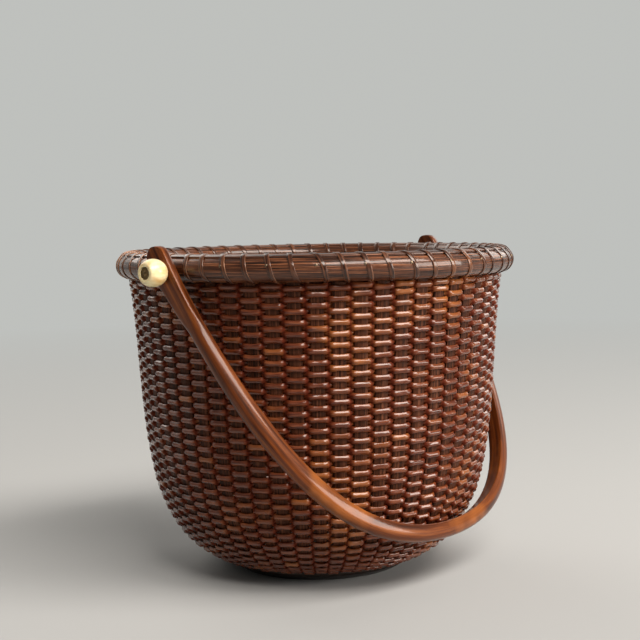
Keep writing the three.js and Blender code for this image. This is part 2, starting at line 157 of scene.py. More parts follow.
room = bpy.data.worlds.new("room")
room.use_nodes = True
room_nodes = room.node_tree.nodes
room_link = room.node_tree.links.new
room_nodes["Background"].inputs["Color"].default_value = room_color
room_way = room_nodes.new("ShaderNodeTexCoord")
wall_way = room_nodes.new("ShaderNodeVectorMath")
wall_way.operation = "DOT_PRODUCT"
wall_way.inputs[1].default_value = (look.x, look.y, 0)
room_link(room_way.outputs["Generated"], wall_way.inputs[0])
wall_share = range_node(
    room_nodes, room_link, wall_way.outputs["Value"], (wall_begins, wall_is_full), (dim_room, 1))
room_seen = room_nodes.new("ShaderNodeLightPath").outputs
seen_or_through = math_node(
    room_nodes, room_link, "MAXIMUM",
    room_seen["Is Camera Ray"], room_seen["Is Transmission Ray"],
)
seen_or_mirrored = math_node(
    room_nodes, room_link, "MULTIPLY_ADD",
    room_seen["Is Glossy Ray"], mirrored_room, seen_or_through,
)
room_strength = math_node(room_nodes, room_link, "MAXIMUM", seen_or_mirrored, wall_share)
room_link(room_strength, room_nodes["Background"].inputs["Strength"])
bpy.context.scene.world = room


def hang_lamp(name, turn, rise, width, height, power):
    """A flat lamp that faces the middle of the basket's wall. Turn counts from -Y."""
    data = bpy.data.lights.new(name, "AREA")
    data.shape = "RECTANGLE"
    data.size = width
    data.size_y = height
    data.color = lamp_color
    data.energy = power
    lamp = bpy.data.objects.new(name, data)
    bpy.context.collection.objects.link(lamp)
    away = Vector((
        math.sin(turn) * math.cos(rise),
        -math.cos(turn) * math.cos(rise),
        math.sin(rise),
    ))
    lamp.location = lamp_aim + away * lamp_distance
    lamp.rotation_euler = away.to_track_quat("Z", "Y").to_euler()


hang_lamp("high_window", math.radians(-8), math.radians(50), width=2.4, height=0.9, power=84)
hang_lamp("front_window", math.radians(24), math.radians(12), width=1.3, height=1.0, power=44)
hang_lamp("side_window", math.radians(90), math.radians(24), width=1.2, height=1.1, power=10)
hang_lamp("back_fill", math.radians(165), math.radians(38), width=1.5, height=1.5, power=16)
hang_lamp("left_fill", math.radians(-150), math.radians(32), width=1.5, height=1.5, power=4)
bpy.context.scene.view_settings.view_transform = "Standard"

# The base is one turned disc of dark stained wood. It is bevelled underneath, has a ring
# turned in its top, and a groove round its edge into which every stave is set.
base_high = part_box("base_disc")[1]
base_radius = base_high.x
base_foot_radius = 42.5 * MM
base_bevel = 3.2 * MM
base_lower = 5.1 * MM
base_upper_radius = 46.5 * MM
groove_floor = 41.6 * MM
groove_top = 7.5 * MM
ring_radius = 30 * MM
ring_width = 5 * MM
ring_depth = 1.1 * MM
turned_edge = 0.5 * MM
lathe_steps = 192
lathe_join = 0.001 * MM
sharp_corner = math.radians(25)
turned_smoothness = math.radians(40)


def turned(name, outline, edge=0):
    """A turned piece: a loop of edges takes the outline, is spun round Z, and its sharp
    corners are broken by an edge width."""
    bpy.ops.object.select_all(action="DESELECT")
    bpy.ops.mesh.primitive_circle_add(vertices=len(outline), radius=outline[0][0])
    piece = bpy.context.object
    piece.name = name
    for vertex, (radius, height) in zip(piece.data.vertices, outline):
        vertex.co = (radius, 0, height)
    bpy.ops.object.mode_set(mode="EDIT")
    bpy.ops.mesh.select_all(action="SELECT")
    bpy.ops.mesh.spin(steps=lathe_steps, angle=math.tau, center=(0, 0, 0), axis=(0, 0, 1))
    bpy.ops.mesh.select_all(action="SELECT")
    bpy.ops.mesh.remove_doubles(threshold=lathe_join)
    bpy.ops.mesh.dissolve_degenerate(threshold=lathe_join)
    bpy.ops.mesh.normals_make_consistent(inside=False)
    if edge:
        bpy.ops.mesh.select_all(action="DESELECT")
        bpy.ops.mesh.edges_select_sharp(sharpness=sharp_corner)
        bpy.ops.mesh.bevel(offset=edge, segments=2, clamp_overlap=True)
    bpy.ops.object.mode_set(mode="OBJECT")
    bpy.ops.object.select_all(action="DESELECT")
    piece.select_set(True)
    bpy.ops.object.shade_smooth_by_angle(angle=turned_smoothness)
    return piece


streak_detail = 5
streak_roughness = 0.62
patch_scale = 28
patch_detail = 3
patch_band = (0.56, 0.72)
edge_highlight_width = 0.25 * MM
edge_highlight_band = (0.4, 0.6)
gloss_spread = 0.15
hollow_roughness = 0.8
hollow_polish_band = (0.4, 0.9)
hollow_coat_begins = 0.5
grain_depth = 0.3 * MM
warm_shine = (1, 0.8, 0.7, 1)
coat_roughness = 0.08


def varnished(name, dark, mid, light, grain, bump=0.2, gloss=0.3, specular=0.3, coat=0.2,
              wear=None, around=None, painted_hollow_shade=None, stain_band=(0.34, 0.7), painted_edge_highlight=None):
    """Stained and varnished wood or cane. The grain is a stretched noise: its three scales
    count per metre along, across and into the piece's own flat layout, or for a turned
    piece round the basket at the radius "around", up and outwards. Wear is a warmer colour
    in patches and on rubbed floats. The painted hollow shade is a darker colour painted as
    shade where a cane dives between the staves; the varnish there is also duller. The
    painted edge highlight is a pale line painted as a highlight along one edge of a lashing
    band, broken up by the wear patches."""
    material = bpy.data.materials.new(name)
    material.use_nodes = True
    nodes = material.node_tree.nodes
    link = material.node_tree.links.new
    shader = nodes["Principled BSDF"]
    place = nodes.new("ShaderNodeTexCoord")
    if around:
        parts = nodes.new("ShaderNodeSeparateXYZ")
        link(place.outputs["Object"], parts.inputs[0])
        angle = math_node(nodes, link, "ARCTAN2", parts.outputs["Y"], parts.outputs["X"])
        arc = math_node(nodes, link, "MULTIPLY", angle, around)
        out = nodes.new("ShaderNodeVectorMath")
        out.operation = "LENGTH"
        flat = nodes.new("ShaderNodeCombineXYZ")
        level = nodes.new("ShaderNodeCombineXYZ")
        link(parts.outputs["X"], level.inputs["X"])
        link(parts.outputs["Y"], level.inputs["Y"])
        link(level.outputs[0], out.inputs[0])
        link(arc, flat.inputs["X"])
        link(parts.outputs["Z"], flat.inputs["Y"])
        link(out.outputs["Value"], flat.inputs["Z"])
        layout = flat.outputs[0]
    else:
        laid = nodes.new("ShaderNodeAttribute")
        laid.attribute_name = "laid_flat"
        layout = laid.outputs["Vector"]

    stretch = nodes.new("ShaderNodeMapping")
    stretch.inputs["Scale"].default_value = grain
    link(layout, stretch.inputs["Vector"])
    streaks = nodes.new("ShaderNodeTexNoise")
    streaks.inputs["Scale"].default_value = 1
    streaks.inputs["Detail"].default_value = streak_detail
    streaks.inputs["Roughness"].default_value = streak_roughness
    link(stretch.outputs[0], streaks.inputs["Vector"])
    stain = nodes.new("ShaderNodeValToRGB")
    stain.color_ramp.elements[0].position = stain_band[0]
    stain.color_ramp.elements[0].color = (*dark, 1)
    stain.color_ramp.elements[1].position = stain_band[1]
    stain.color_ramp.elements[1].color = (*light, 1)
    middle = stain.color_ramp.elements.new(sum(stain_band) / 2)
    middle.color = (*mid, 1)
    link(streaks.outputs["Fac"], stain.inputs["Fac"])
    color = stain.outputs["Color"]
    if wear:
        rubbed = nodes.new("ShaderNodeAttribute")
        rubbed.attribute_name = "rubbed"
        patches = nodes.new("ShaderNodeTexNoise")
        patches.inputs["Scale"].default_value = patch_scale
        patches.inputs["Detail"].default_value = patch_detail
        link(place.outputs["Object"], patches.inputs["Vector"])
        spread = range_node(nodes, link, patches.outputs["Fac"], patch_band)
        most = math_node(nodes, link, "MAXIMUM", spread, rubbed.outputs["Fac"])
        worn = nodes.new("ShaderNodeMix")
        worn.data_type = "RGBA"
        worn.inputs["B"].default_value = (*wear, 1)
        link(most, worn.inputs["Factor"])
        link(color, worn.inputs["A"])
        color = worn.outputs["Result"]
    # A pale line is painted along one edge of a lashing band as a highlight, broken up by the wear
    # patches.
    if painted_edge_highlight:
        edge_place = nodes.new("ShaderNodeSeparateXYZ")
        link(layout, edge_place.inputs[0])
        edge_span = (painted_edge_highlight[0], painted_edge_highlight[0] + edge_highlight_width)
        edge_share = range_node(nodes, link, edge_place.outputs["Y"], edge_span)
        edge_patches = range_node(nodes, link, patches.outputs["Fac"], edge_highlight_band)
        edge_highlight_share = math_node(nodes, link, "MULTIPLY", edge_share, edge_patches)
        edge_highlight_mix = nodes.new("ShaderNodeMix")
        edge_highlight_mix.data_type = "RGBA"
        edge_highlight_mix.inputs["B"].default_value = (*painted_edge_highlight[1], 1)
        link(edge_highlight_share, edge_highlight_mix.inputs["Factor"])
        link(color, edge_highlight_mix.inputs["A"])
        color = edge_highlight_mix.outputs["Result"]
    gloss_band = (gloss, gloss + gloss_spread)
    roughness = range_node(nodes, link, streaks.outputs["Fac"], to_band=gloss_band)
    # Where a cane dives between the staves its colour is painted darker, as painted shade in the
    # crevices; the varnish there is also rougher and has no coat.
    if painted_hollow_shade:
        high = nodes.new("ShaderNodeAttribute")
        high.attribute_name = "stands_out"
        hollow_shade_mix = nodes.new("ShaderNodeMix")
        hollow_shade_mix.data_type = "RGBA"
        hollow_shade_mix.inputs["A"].default_value = (*painted_hollow_shade, 1)
        link(high.outputs["Fac"], hollow_shade_mix.inputs["Factor"])
        link(color, hollow_shade_mix.inputs["B"])
        color = hollow_shade_mix.outputs["Result"]
        height = high.outputs["Fac"]
        polish = range_node(nodes, link, height, hollow_polish_band, (hollow_roughness, 0))
        roughness = math_node(nodes, link, "MAXIMUM", roughness, polish)
        coated = range_node(nodes, link, height, (hollow_coat_begins, 1), (0, coat))
        link(coated, shader.inputs["Coat Weight"])
    link(color, shader.inputs["Base Color"])
    link(roughness, shader.inputs["Roughness"])
    ridges = nodes.new("ShaderNodeBump")
    ridges.inputs["Strength"].default_value = bump
    ridges.inputs["Distance"].default_value = grain_depth
    link(streaks.outputs["Fac"], ridges.inputs["Height"])
    link(ridges.outputs[0], shader.inputs["Normal"])
    shader.inputs["Specular IOR Level"].default_value = specular
    shader.inputs["Specular Tint"].default_value = warm_shine
    shader.inputs["Coat Weight"].default_value = coat
    shader.inputs["Coat Roughness"].default_value = coat_roughness
    return material


ring_inner = ring_radius - ring_width
base = turned("turned_base", [
    (0, 0),
    (base_foot_radius, 0),
    (base_radius, base_bevel),
    (base_radius, base_lower),
    (groove_floor, base_lower),
    (groove_floor, groove_top),
    (base_upper_radius, groove_top),
    (base_upper_radius, base_high.z),
    (ring_radius, base_high.z),
    (ring_radius - ring_depth, base_high.z - ring_depth),
    (ring_inner + ring_depth, base_high.z - ring_depth),
    (ring_inner, base_high.z),
    (0, base_high.z),
], edge=turned_edge)
base.data.materials.append(varnished(
    "dark_base_wood",
    (0.006, 0.004, 0.003), (0.013, 0.008, 0.006), (0.024, 0.014, 0.009),
    grain=(60, 700, 700), bump=0.15, gloss=0.3, around=0.045,
))
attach(base, "basket")
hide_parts("base_disc")

# The staves are 57 thin strips of split wood. Each tapers to its foot in the base's
# groove, follows the mould's curve, and ends upright between the two rim hoops.
stave_count = 57
stave_pitch = math.tau / stave_count
stave_thickness = 1.2 * MM
stave_foot_width = 4 * MM
stave_width = 6.3 * MM
stave_edge = 0.35 * MM
stave_cuts = 60
stave_grain_step = 0.02
stave_seat = Vector((41.9 * MM, 6 * MM))
wall_foot = Vector((46 * MM, 6 * MM))
wall_foot_pull = Vector((50.79 * MM, 6 * MM))
belly_under = Vector((74.63 * MM, 12.68 * MM))
belly = Vector((83.05 * MM, 49.28 * MM))
belly_over = Vector((89.98 * MM, 79.4 * MM))
wall_top_pull = Vector((88.68 * MM, 114.27 * MM))
wall_top = Vector((93.68 * MM, 150 * MM))
stave_end = Vector((93.74 * MM, 160.3 * MM))
line_steps = 200

# The line runs along a stave's middle in (distance from the axis, height).
line = [stave_seat]
line += interpolate_bezier(wall_foot, wall_foot_pull, belly_under, belly, line_steps)
line += interpolate_bezier(belly, belly_over, wall_top_pull, wall_top, line_steps)[1:]
line += [stave_end]
line_place = np.array([point[:2] for point in line])
line_steps_long = np.linalg.norm(np.diff(line_place, axis=0), axis=1)
line_length = np.concatenate(([0], np.cumsum(line_steps_long)))
line_slope = np.gradient(line_place, line_length, axis=0)


def on_wall(turn, along, out):
    """Places on the wall: turn counts staves round from +X, along is the distance up the
    line from the stave's seat, and out is the distance in front of it."""
    radius = np.interp(along, line_length, line_place[:, 0])
    height = np.interp(along, line_length, line_place[:, 1])
    radius = radius + out * np.interp(along, line_length, line_slope[:, 1])
    height = height - out * np.interp(along, line_length, line_slope[:, 0])
    angle = turn * stave_pitch
    return np.column_stack((radius * np.cos(angle), radius * np.sin(angle), height))


def flat_strip(name, length, width, thickness, cuts, edge, edge_steps=1):
    """A straight strip along X, with its long edges rounded and cut across evenly."""
    bpy.ops.object.select_all(action="DESELECT")
    bpy.ops.mesh.primitive_cube_add(size=1, scale=(length, width, thickness))
    piece = bpy.context.object
    piece.name = name
    bpy.ops.object.transform_apply(location=True, rotation=True, scale=True)
    bpy.ops.object.mode_set(mode="EDIT")
    bpy.ops.mesh.select_mode(type="EDGE")
    bpy.ops.mesh.select_all(action="DESELECT")
    bpy.ops.object.mode_set(mode="OBJECT")
    for each in piece.data.edges:
        a, b = (piece.data.vertices[i].co for i in each.vertices)
        each.select = bool(abs(a.x - b.x) > length / 2)
    bpy.ops.object.mode_set(mode="EDIT")
    bpy.ops.mesh.bevel(offset=edge, segments=edge_steps, clamp_overlap=True)
    bpy.ops.mesh.select_all(action="DESELECT")
    bpy.ops.object.mode_set(mode="OBJECT")
    for each in piece.data.edges:
        a, b = (piece.data.vertices[i].co for i in each.vertices)
        each.select = bool(abs(a.x - b.x) > length / 2)
    bpy.ops.object.mode_set(mode="EDIT")
    bpy.ops.mesh.subdivide(number_cuts=cuts)
    bpy.ops.object.mode_set(mode="OBJECT")
    return piece


def vertex_places(piece):
    """The places of a piece's points, one row each."""
    places = np.empty(len(piece.data.vertices) * 3, dtype=np.float32)
    piece.data.vertices.foreach_get("co", places)
    return places.reshape(-1, 3).astype(float)


def set_places(piece, places):
    """Moves a piece's points to the places given."""
    piece.data.vertices.foreach_set("co", np.asarray(places, dtype=np.float32).ravel())
    piece.data.update()


def note_layout(piece, layout):
    """Keeps where each point lay on the flat strip, for the grain to follow."""
    laid = piece.data.attributes.new("laid_flat", "FLOAT_VECTOR", "POINT")
    laid.data.foreach_set("vector", np.asarray(layout, dtype=np.float32).ravel())


def join_pieces(pieces, name):
    """Joins pieces into the first one."""
    bpy.ops.object.select_all(action="DESELECT")
    for each in pieces:
        each.select_set(True)
    bpy.context.view_layer.objects.active = pieces[0]
    bpy.ops.object.join()
    pieces[0].name = name
    return pieces[0]


def smooth(piece, angle=50):
    """Shades a piece smooth, but for edges sharper than the angle in degrees."""
    bpy.ops.object.select_all(action="DESELECT")
    piece.select_set(True)
    bpy.context.view_layer.objects.active = piece
    bpy.ops.object.shade_smooth_by_angle(angle=math.radians(angle))


stave_length = line_length[-1]
stave = flat_strip("stave", stave_length, 1, stave_thickness, stave_cuts, stave_edge)
flat = vertex_places(stave)
flat[:, 0] += stave_length / 2
taper_end = np.interp(belly.y, line_place[:, 1], line_length)
half_width = np.interp(flat[:, 0], (0, taper_end), (stave_foot_width / 2, stave_width / 2))
edge_side = np.sign(flat[:, 1])
edge_inset = 0.5 - np.abs(flat[:, 1])
flat[:, 1] = edge_side * (half_width - edge_inset)
staves = []
for number in range(stave_count):
    each = stave if number == 0 else stave.copy()
    if number:
        each.data = stave_mesh.copy()
        bpy.context.collection.objects.link(each)
    else:
        stave_mesh = stave.data.copy()
    staves.append(each)
for number, each in enumerate(staves):
    radius = np.interp(flat[:, 0], line_length, line_place[:, 0])
    turn = number + flat[:, 1] / (radius * stave_pitch)
    set_places(each, on_wall(turn, flat[:, 0], flat[:, 2]))
    note_layout(each, flat + (0, number * stave_grain_step, 0))
staves = join_pieces(staves, "staves")
smooth(staves)
staves.data.materials.append(varnished(
    "stained_split_wood",
    (0.016, 0.004, 0.0015), (0.065, 0.019, 0.008), (0.16, 0.056, 0.027),
    grain=(25, 1500, 900), bump=0.5, gloss=0.4, specular=0.15, coat=0,
    stain_band=(0.38, 0.68),
))
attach(staves, "basket")

# The weaver is one long cane that climbs the wall as a helix, over one stave and under
# the next. The staves are odd in number, so each round crosses over where the last went
# under. It was added in five lengths, each of twelve rounds.
cane_width = 2.45 * MM
cane_thickness = 1.3 * MM
cane_bevel = 0.6 * MM
crown_across = np.array((0.3, 0.42, 0.98, 1.2)) * MM
crown_rise = np.array((0.65, 0.59, 0.27, 0.08)) * MM
back_across = np.array((0.6, 0.9, 1.1, 1.2)) * MM
back_rise = np.array((0.62, 0.61, 0.56, 0.36)) * MM
cane_play = 0.05 * MM
cane_swing = (stave_thickness + cane_thickness) / 2 + cane_play
cane_cuts_per_stave = 8
cane_bunching = 0.089
cane_steepness = 2.9
cane_spread = 0.28
cane_swell = 0.65
rounds = 60
lengths = 5
flat_pitch = 10 * MM
weave_start_radius = 49.6 * MM
weave_end_height = 149.75 * MM
sway_spread = 0.09 * MM
lift_spread = 0.11 * MM
roll_spread = math.radians(6.5)
rub_middle = -0.9
rub_spread = 0.75
cap_facing = 0.9
join_distance = 0.01 * MM
uneven = np.random.default_rng(57)

# The line always widens and never goes down, so a radius or a height finds its place on it.
first_row = np.interp(weave_start_radius, line_place[:, 0], line_length) + cane_width / 2
last_row = np.interp(weave_end_height, line_place[:, 1], line_length) - cane_width / 2
crossings = rounds * stave_count
row_pitch = (last_row - first_row) / (rounds - 1)
crossing_numbers = np.arange(-1, crossings + 2)
crossing_sway = uneven.normal(0, sway_spread, len(crossing_numbers))
crossing_lift = uneven.normal(0, lift_spread, len(crossing_numbers))
crossing_rub = np.clip(uneven.normal(rub_middle, rub_spread, len(crossing_numbers)), 0, 1)
crossing_roll = uneven.normal(0, roll_spread, len(crossing_numbers))


def open_ends(piece):
    """Takes the two end faces off a strip along X."""
    bpy.ops.object.mode_set(mode="EDIT")
    bpy.ops.mesh.select_mode(type="FACE")
    bpy.ops.mesh.select_all(action="DESELECT")
    bpy.ops.object.mode_set(mode="OBJECT")
    for face in piece.data.polygons:
        face.select = bool(abs(face.normal.x) > cap_facing)
    bpy.ops.object.mode_set(mode="EDIT")
    bpy.ops.mesh.delete(type="FACE")
    bpy.ops.object.mode_set(mode="OBJECT")


def repeat_along(piece, name, count):
    """Repeats a strip with open ends along X and joins the repeats into one."""
    repeat = piece.modifiers.new(name, "ARRAY")
    repeat.count = count
    repeat.use_merge_vertices = True
    repeat.merge_threshold = join_distance
    bpy.ops.object.modifier_apply(modifier=repeat.name)


unit = flat_strip(
    "cane_unit", 2 * flat_pitch, cane_width, cane_thickness,
    2 * cane_cuts_per_stave - 1, cane_bevel, 3,
)
open_ends(unit)

# The strip's long edges are moved to a split cane's section. Its face is crowned, with a
# slope on each side, and its back is nearly flat.
strip = vertex_places(unit)
bevelled = [1 - math.sin(math.radians(rise)) for rise in (0, 30, 60, 90)]
strip_across = cane_width / 2 - cane_bevel * np.array(bevelled)
is_crown = strip[:, 2] > 0
across = np.abs(strip[:, 1])
crown = np.interp(across, strip_across, crown_across), np.interp(across, strip_across, crown_rise)
back = np.interp(across, strip_across, back_across), np.interp(across, strip_across, back_rise)
strip[:, 1] = np.sign(strip[:, 1]) * np.where(is_crown, crown[0], back[0])
strip[:, 2] = np.sign(strip[:, 2]) * np.where(is_crown, crown[1], back[1])
set_places(unit, strip)

# The cane's hollow colour is painted shade where the cane dives between the staves.
cane_material = varnished(
    "stained_cane",
    (0.05, 0.008, 0.002), (0.13, 0.027, 0.007), (0.22, 0.06, 0.018),
    grain=(90, 1400, 1400), bump=0.12, gloss=0.2, specular=0.24, coat=0.85,
    wear=(0.28, 0.085, 0.018), painted_hollow_shade=(0.09, 0.009, 0.001),
)
crossings_each = crossings // lengths
for length_number in range(lengths):
    cane = unit.copy()
    cane.data = unit.data.copy()
    cane.name = "woven_cane_%d" % (length_number + 1)
    bpy.context.collection.objects.link(cane)
    bpy.ops.object.select_all(action="DESELECT")
    cane.select_set(True)
    bpy.context.view_layer.objects.active = cane
    repeat_along(cane, "over and under", crossings_each // 2)
    bpy.ops.object.mode_set(mode="EDIT")
    bpy.ops.mesh.select_all(action="SELECT")
    bpy.ops.mesh.fill_holes(sides=0)
    bpy.ops.mesh.select_all(action="SELECT")
    bpy.ops.mesh.normals_make_consistent(inside=False)
    bpy.ops.object.mode_set(mode="OBJECT")
    flat = vertex_places(cane)
    step = flat[:, 0] / flat_pitch
    step = step + cane_bunching * np.sin(math.tau * step)
    turn = length_number * crossings_each + step
    crossing = np.cos(math.pi * step)
    side = np.tanh(cane_steepness * crossing) / math.tanh(cane_steepness)
    roll = np.interp(turn, crossing_numbers, crossing_roll)
    wide = flat[:, 1] * (1 + cane_spread * (1 - crossing**2))
    thick = flat[:, 2] * (1 + cane_swell * (1 - crossing**2))
    up = wide * np.cos(roll) - thick * np.sin(roll)
    out = wide * np.sin(roll) + thick * np.cos(roll)
    row = first_row + row_pitch * np.clip(turn, 0, crossings - stave_count) / stave_count
    row = row + np.interp(turn, crossing_numbers, crossing_sway)
    out = out + side * (cane_swing + np.interp(turn, crossing_numbers, crossing_lift))
    note_layout(cane, np.column_stack((turn * flat_pitch, flat[:, 1], flat[:, 2])))
    stands_out = cane.data.attributes.new("stands_out", "FLOAT", "POINT")
    stands_out.data.foreach_set("value", np.abs(side).astype(np.float32))
    rubbed = cane.data.attributes.new("rubbed", "FLOAT", "POINT")
    rub = np.interp(np.round(turn), crossing_numbers, crossing_rub)
    rubbed.data.foreach_set("value", rub.astype(np.float32))
    set_places(cane, on_wall(turn, row + up, out))
    smooth(cane, 60)
    cane.data.materials.append(cane_material)
    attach(cane, "basket")
bpy.data.objects.remove(unit)
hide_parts("woven_wall")

# The rim's two hoops are half-round bent wood, one outside the stave ends and one inside,
# with their flat faces to the staves. A thin cap strip is bent over both and hides the ends.
outer_low, outer_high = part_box("outer_hoop")
cap_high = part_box("rim_cap")[1]
rim_outer = outer_high.y
rim_inner = 88.4 * MM
rim_middle = (rim_outer + rim_inner) / 2
hoop_under_cap = 0.5 * MM
hoop_low = outer_low.z
hoop_high = outer_high.z + hoop_under_cap
hoop_gap = 0.2 * MM
stave_face = stave_end.x + stave_thickness / 2 + hoop_gap
inner_stave_face = stave_end.x - stave_thickness / 2 - hoop_gap
hoop_fullness = 2.15
hoop_points = 28
cap_half_width = 3.4 * MM
cap_crown = 7 * MM
cap_points = 12
cap_gap = 0.04 * MM
cap_edge = 0.2 * MM


def hoop_height(share):
    """How high a hoop's rounded top lies at a share of its depth out from the flat face."""
    fall = (1 - min(abs(share), 1) ** hoop_fullness) ** (1 / hoop_fullness)
    return (hoop_low + hoop_high) / 2 + fall * (hoop_high - hoop_low) / 2


def half_round(flat_radius, crown_radius):
    """A half-round section from its lower edge to its upper edge, flat on one side."""
    section = []
    for i in range(hoop_points + 1):
        angle = -math.pi / 2 + math.pi * i / hoop_points
        across = max(math.cos(angle), 0) ** (2 / hoop_fullness)
        up = math.copysign(abs(math.sin(angle)) ** (2 / hoop_fullness), angle)
        radius = flat_radius + (crown_radius - flat_radius) * across
        section.append((radius, (hoop_low + hoop_high) / 2 + up * (hoop_high - hoop_low) / 2))
    return section


outer_section = half_round(stave_face, rim_outer)
inner_section = half_round(inner_stave_face, rim_inner)
cap_top, cap_under = [], []
for i in range(cap_points + 1):
    offset = cap_half_width * (1 - 2 * i / cap_points)
    radius = rim_middle + offset
    outward = (radius - stave_face) / (rim_outer - stave_face)
    inward = (radius - inner_stave_face) / (rim_inner - inner_stave_face)
    below = hoop_height(max(outward, inward, 0)) + cap_gap
    sag = cap_crown - math.sqrt(cap_crown**2 - offset**2)
    cap_top.append((radius, cap_high.z - sag))
    cap_under.append((radius, below))
hoop_material = varnished(
    "stained_hoop_wood",
    (0.01, 0.0025, 0.0008), (0.09, 0.026, 0.009), (0.32, 0.12, 0.05),
    grain=(40, 2100, 900), bump=0.8, gloss=0.22, coat=0.55, around=rim_outer,
    stain_band=(0.39, 0.68),
)
outer_hoop = turned("outer_rim_hoop", outer_section)
inner_hoop = turned("inner_rim_hoop", inner_section)
cap = turned("rim_cap_strip", cap_top + cap_under[::-1], edge=cap_edge)
for piece, node in ((outer_hoop, "outer_hoop"), (inner_hoop, "inner_hoop"), (cap, "rim_cap")):
    piece.data.materials.append(hoop_material)
    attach(piece, "basket")
    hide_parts(node)

# The lashing is one flat cane drawn tight round the whole rim. It goes down the outside, in
# between two staves under the hoops, up the inside and out over the cap, once for each
# gap between staves, and steps aside at the two pivot pins.
lash_width = 2.4 * MM
lash_thickness = 0.42 * MM
lash_edge = 0.2 * MM
lash_gap = 0.02 * MM
lash_cuts_per_turn = 44
lash_phase = 0.12
lash_stiffness = 15
lash_path_points = 720
lash_wander_spread = 0.06
lash_outside_steepness = 1.5
outward_pull = 10
dodge = 0.44
dodge_reach = 0.35
dodge_sharpness = 0.2

rim_points = [Vector(point) for point in outer_section + cap_top + inner_section]
rim_hull = [rim_points[i] for i in convex_hull_2d(rim_points)]
rim_hull = np.array([point[:] for point in rim_hull + rim_hull[:1]])
hull_steps = np.linalg.norm(np.diff(rim_hull, axis=0), axis=1)
hull_length = np.concatenate(([0], np.cumsum(hull_steps)))
hull_share = np.linspace(0, hull_length[-1], lash_path_points, endpoint=False)
path = np.column_stack([np.interp(hull_share, hull_length, rim_hull[:, i]) for i in (0, 1)])

# The path starts in the middle of the outer face and goes down. A running mean rounds it.
off_middle = np.abs(path[:, 1] - (hoop_low + hoop_high) / 2)
start = np.argmin(off_middle - path[:, 0] * outward_pull)
path = np.roll(path, -start, axis=0)
if path[5, 1] > path[0, 1]:
    path = np.roll(path[::-1], 1, axis=0)
path = sum(np.roll(path, i, axis=0) for i in range(-lash_stiffness, lash_stiffness + 1))
path = path / (2 * lash_stiffness + 1)
ahead = np.roll(path, -1, axis=0) - np.roll(path, 1, axis=0)
ahead = ahead / np.linalg.norm(ahead, axis=1)[:, None]
path = path + np.column_stack((-ahead[:, 1], ahead[:, 0])) * (lash_gap + lash_thickness / 2)
path = np.vstack((path, path[:1]))
path_steps = np.linalg.norm(np.diff(path, axis=0), axis=1)
path_length = np.concatenate(([0], np.cumsum(path_steps)))
path_share = path_length / path_length[-1]

lash = flat_strip(
    "rim_lashing_cane", path_length[-1], lash_width, lash_thickness,
    lash_cuts_per_turn - 1, lash_edge, 2,
)
open_ends(lash)
repeat_along(lash, "turns", stave_count)
flat = vertex_places(lash)
turns = flat[:, 0] / path_length[-1] + 0.5
share = turns % 1.0
slope = np.gradient(path, path_length, axis=0)
along_across = np.interp(share, path_share, slope[:, 0])
along_up = np.interp(share, path_share, slope[:, 1])
size = np.hypot(along_across, along_up)
lash_wander = uneven.normal(0, lash_wander_spread, stave_count + 1)
lash_wander[-1] = lash_wander[0]
outside = np.clip(np.cos(math.tau * share) * lash_outside_steepness, 0, 1)
phase = turns + lash_phase
phase = phase + outside * np.interp(turns, np.arange(stave_count + 1), lash_wander)
for pin in (0, stave_count / 2):
    away = turns + lash_phase - pin
    away = away - stave_count * np.round(away / stave_count)
    near = np.exp(-((away / dodge_reach) ** 2))
    phase = phase + dodge * np.tanh(away / dodge_sharpness) * near
radius = np.interp(share, path_share, path[:, 0]) - flat[:, 2] * along_up / size
height = np.interp(share, path_share, path[:, 1]) + flat[:, 2] * along_across / size
angle = phase * stave_pitch + flat[:, 1] / radius
note_layout(lash, flat)
set_places(lash, np.column_stack((radius * np.cos(angle), radius * np.sin(angle), height)))
bpy.ops.object.mode_set(mode="EDIT")
bpy.ops.mesh.select_all(action="SELECT")
bpy.ops.mesh.remove_doubles(threshold=join_distance)
bpy.ops.mesh.normals_make_consistent(inside=False)
bpy.ops.object.mode_set(mode="OBJECT")
smooth(lash)
# The lashing's pale edge line is a painted highlight along one side of each band.
lash.data.materials.append(varnished(
    "lashing_cane",
    (0.018, 0.005, 0.002), (0.065, 0.02, 0.008), (0.15, 0.055, 0.024),
    grain=(60, 1300, 1300), bump=0.3, gloss=0.2, coat=0.6, wear=(0.26, 0.085, 0.022),
    stain_band=(0.4, 0.64), painted_edge_highlight=(0.95 * MM, (0.4, 0.2, 0.11)),
))
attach(lash, "basket")
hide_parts("rim_lashing")

# Small domed brads pin the outer hoop to every second stave, near its upper edge.
brad_radius = 0.75 * MM
brad_depth = 0.5 * MM
brad_rise = 158.2 * MM
brad_staves = [number for number in range(-26, 28, 2) if number]
brads = []
for number in brad_staves:
    bpy.ops.object.select_all(action="DESELECT")
    bpy.ops.mesh.primitive_uv_sphere_add(segments=16, ring_count=8, radius=brad_radius)
    brad = bpy.context.object
    bpy.ops.object.mode_set(mode="EDIT")
    bpy.ops.mesh.select_all(action="SELECT")
    bpy.ops.transform.resize(value=(brad_depth / brad_radius, 1, 1))
    bpy.ops.object.mode_set(mode="OBJECT")
    angle = number * stave_pitch
    rise_share = (brad_rise - (hoop_low + hoop_high) / 2) / ((hoop_high - hoop_low) / 2)
    brad_share = (1 - rise_share**hoop_fullness) ** (1 / hoop_fullness)
    brad_out = stave_face + brad_share * (rim_outer - stave_face)
    brad.location = (brad_out * math.cos(angle), brad_out * math.sin(angle), brad_rise)
    brad.rotation_euler.z = angle
    bpy.ops.object.transform_apply(location=True, rotation=True, scale=True)
    brads.append(brad)


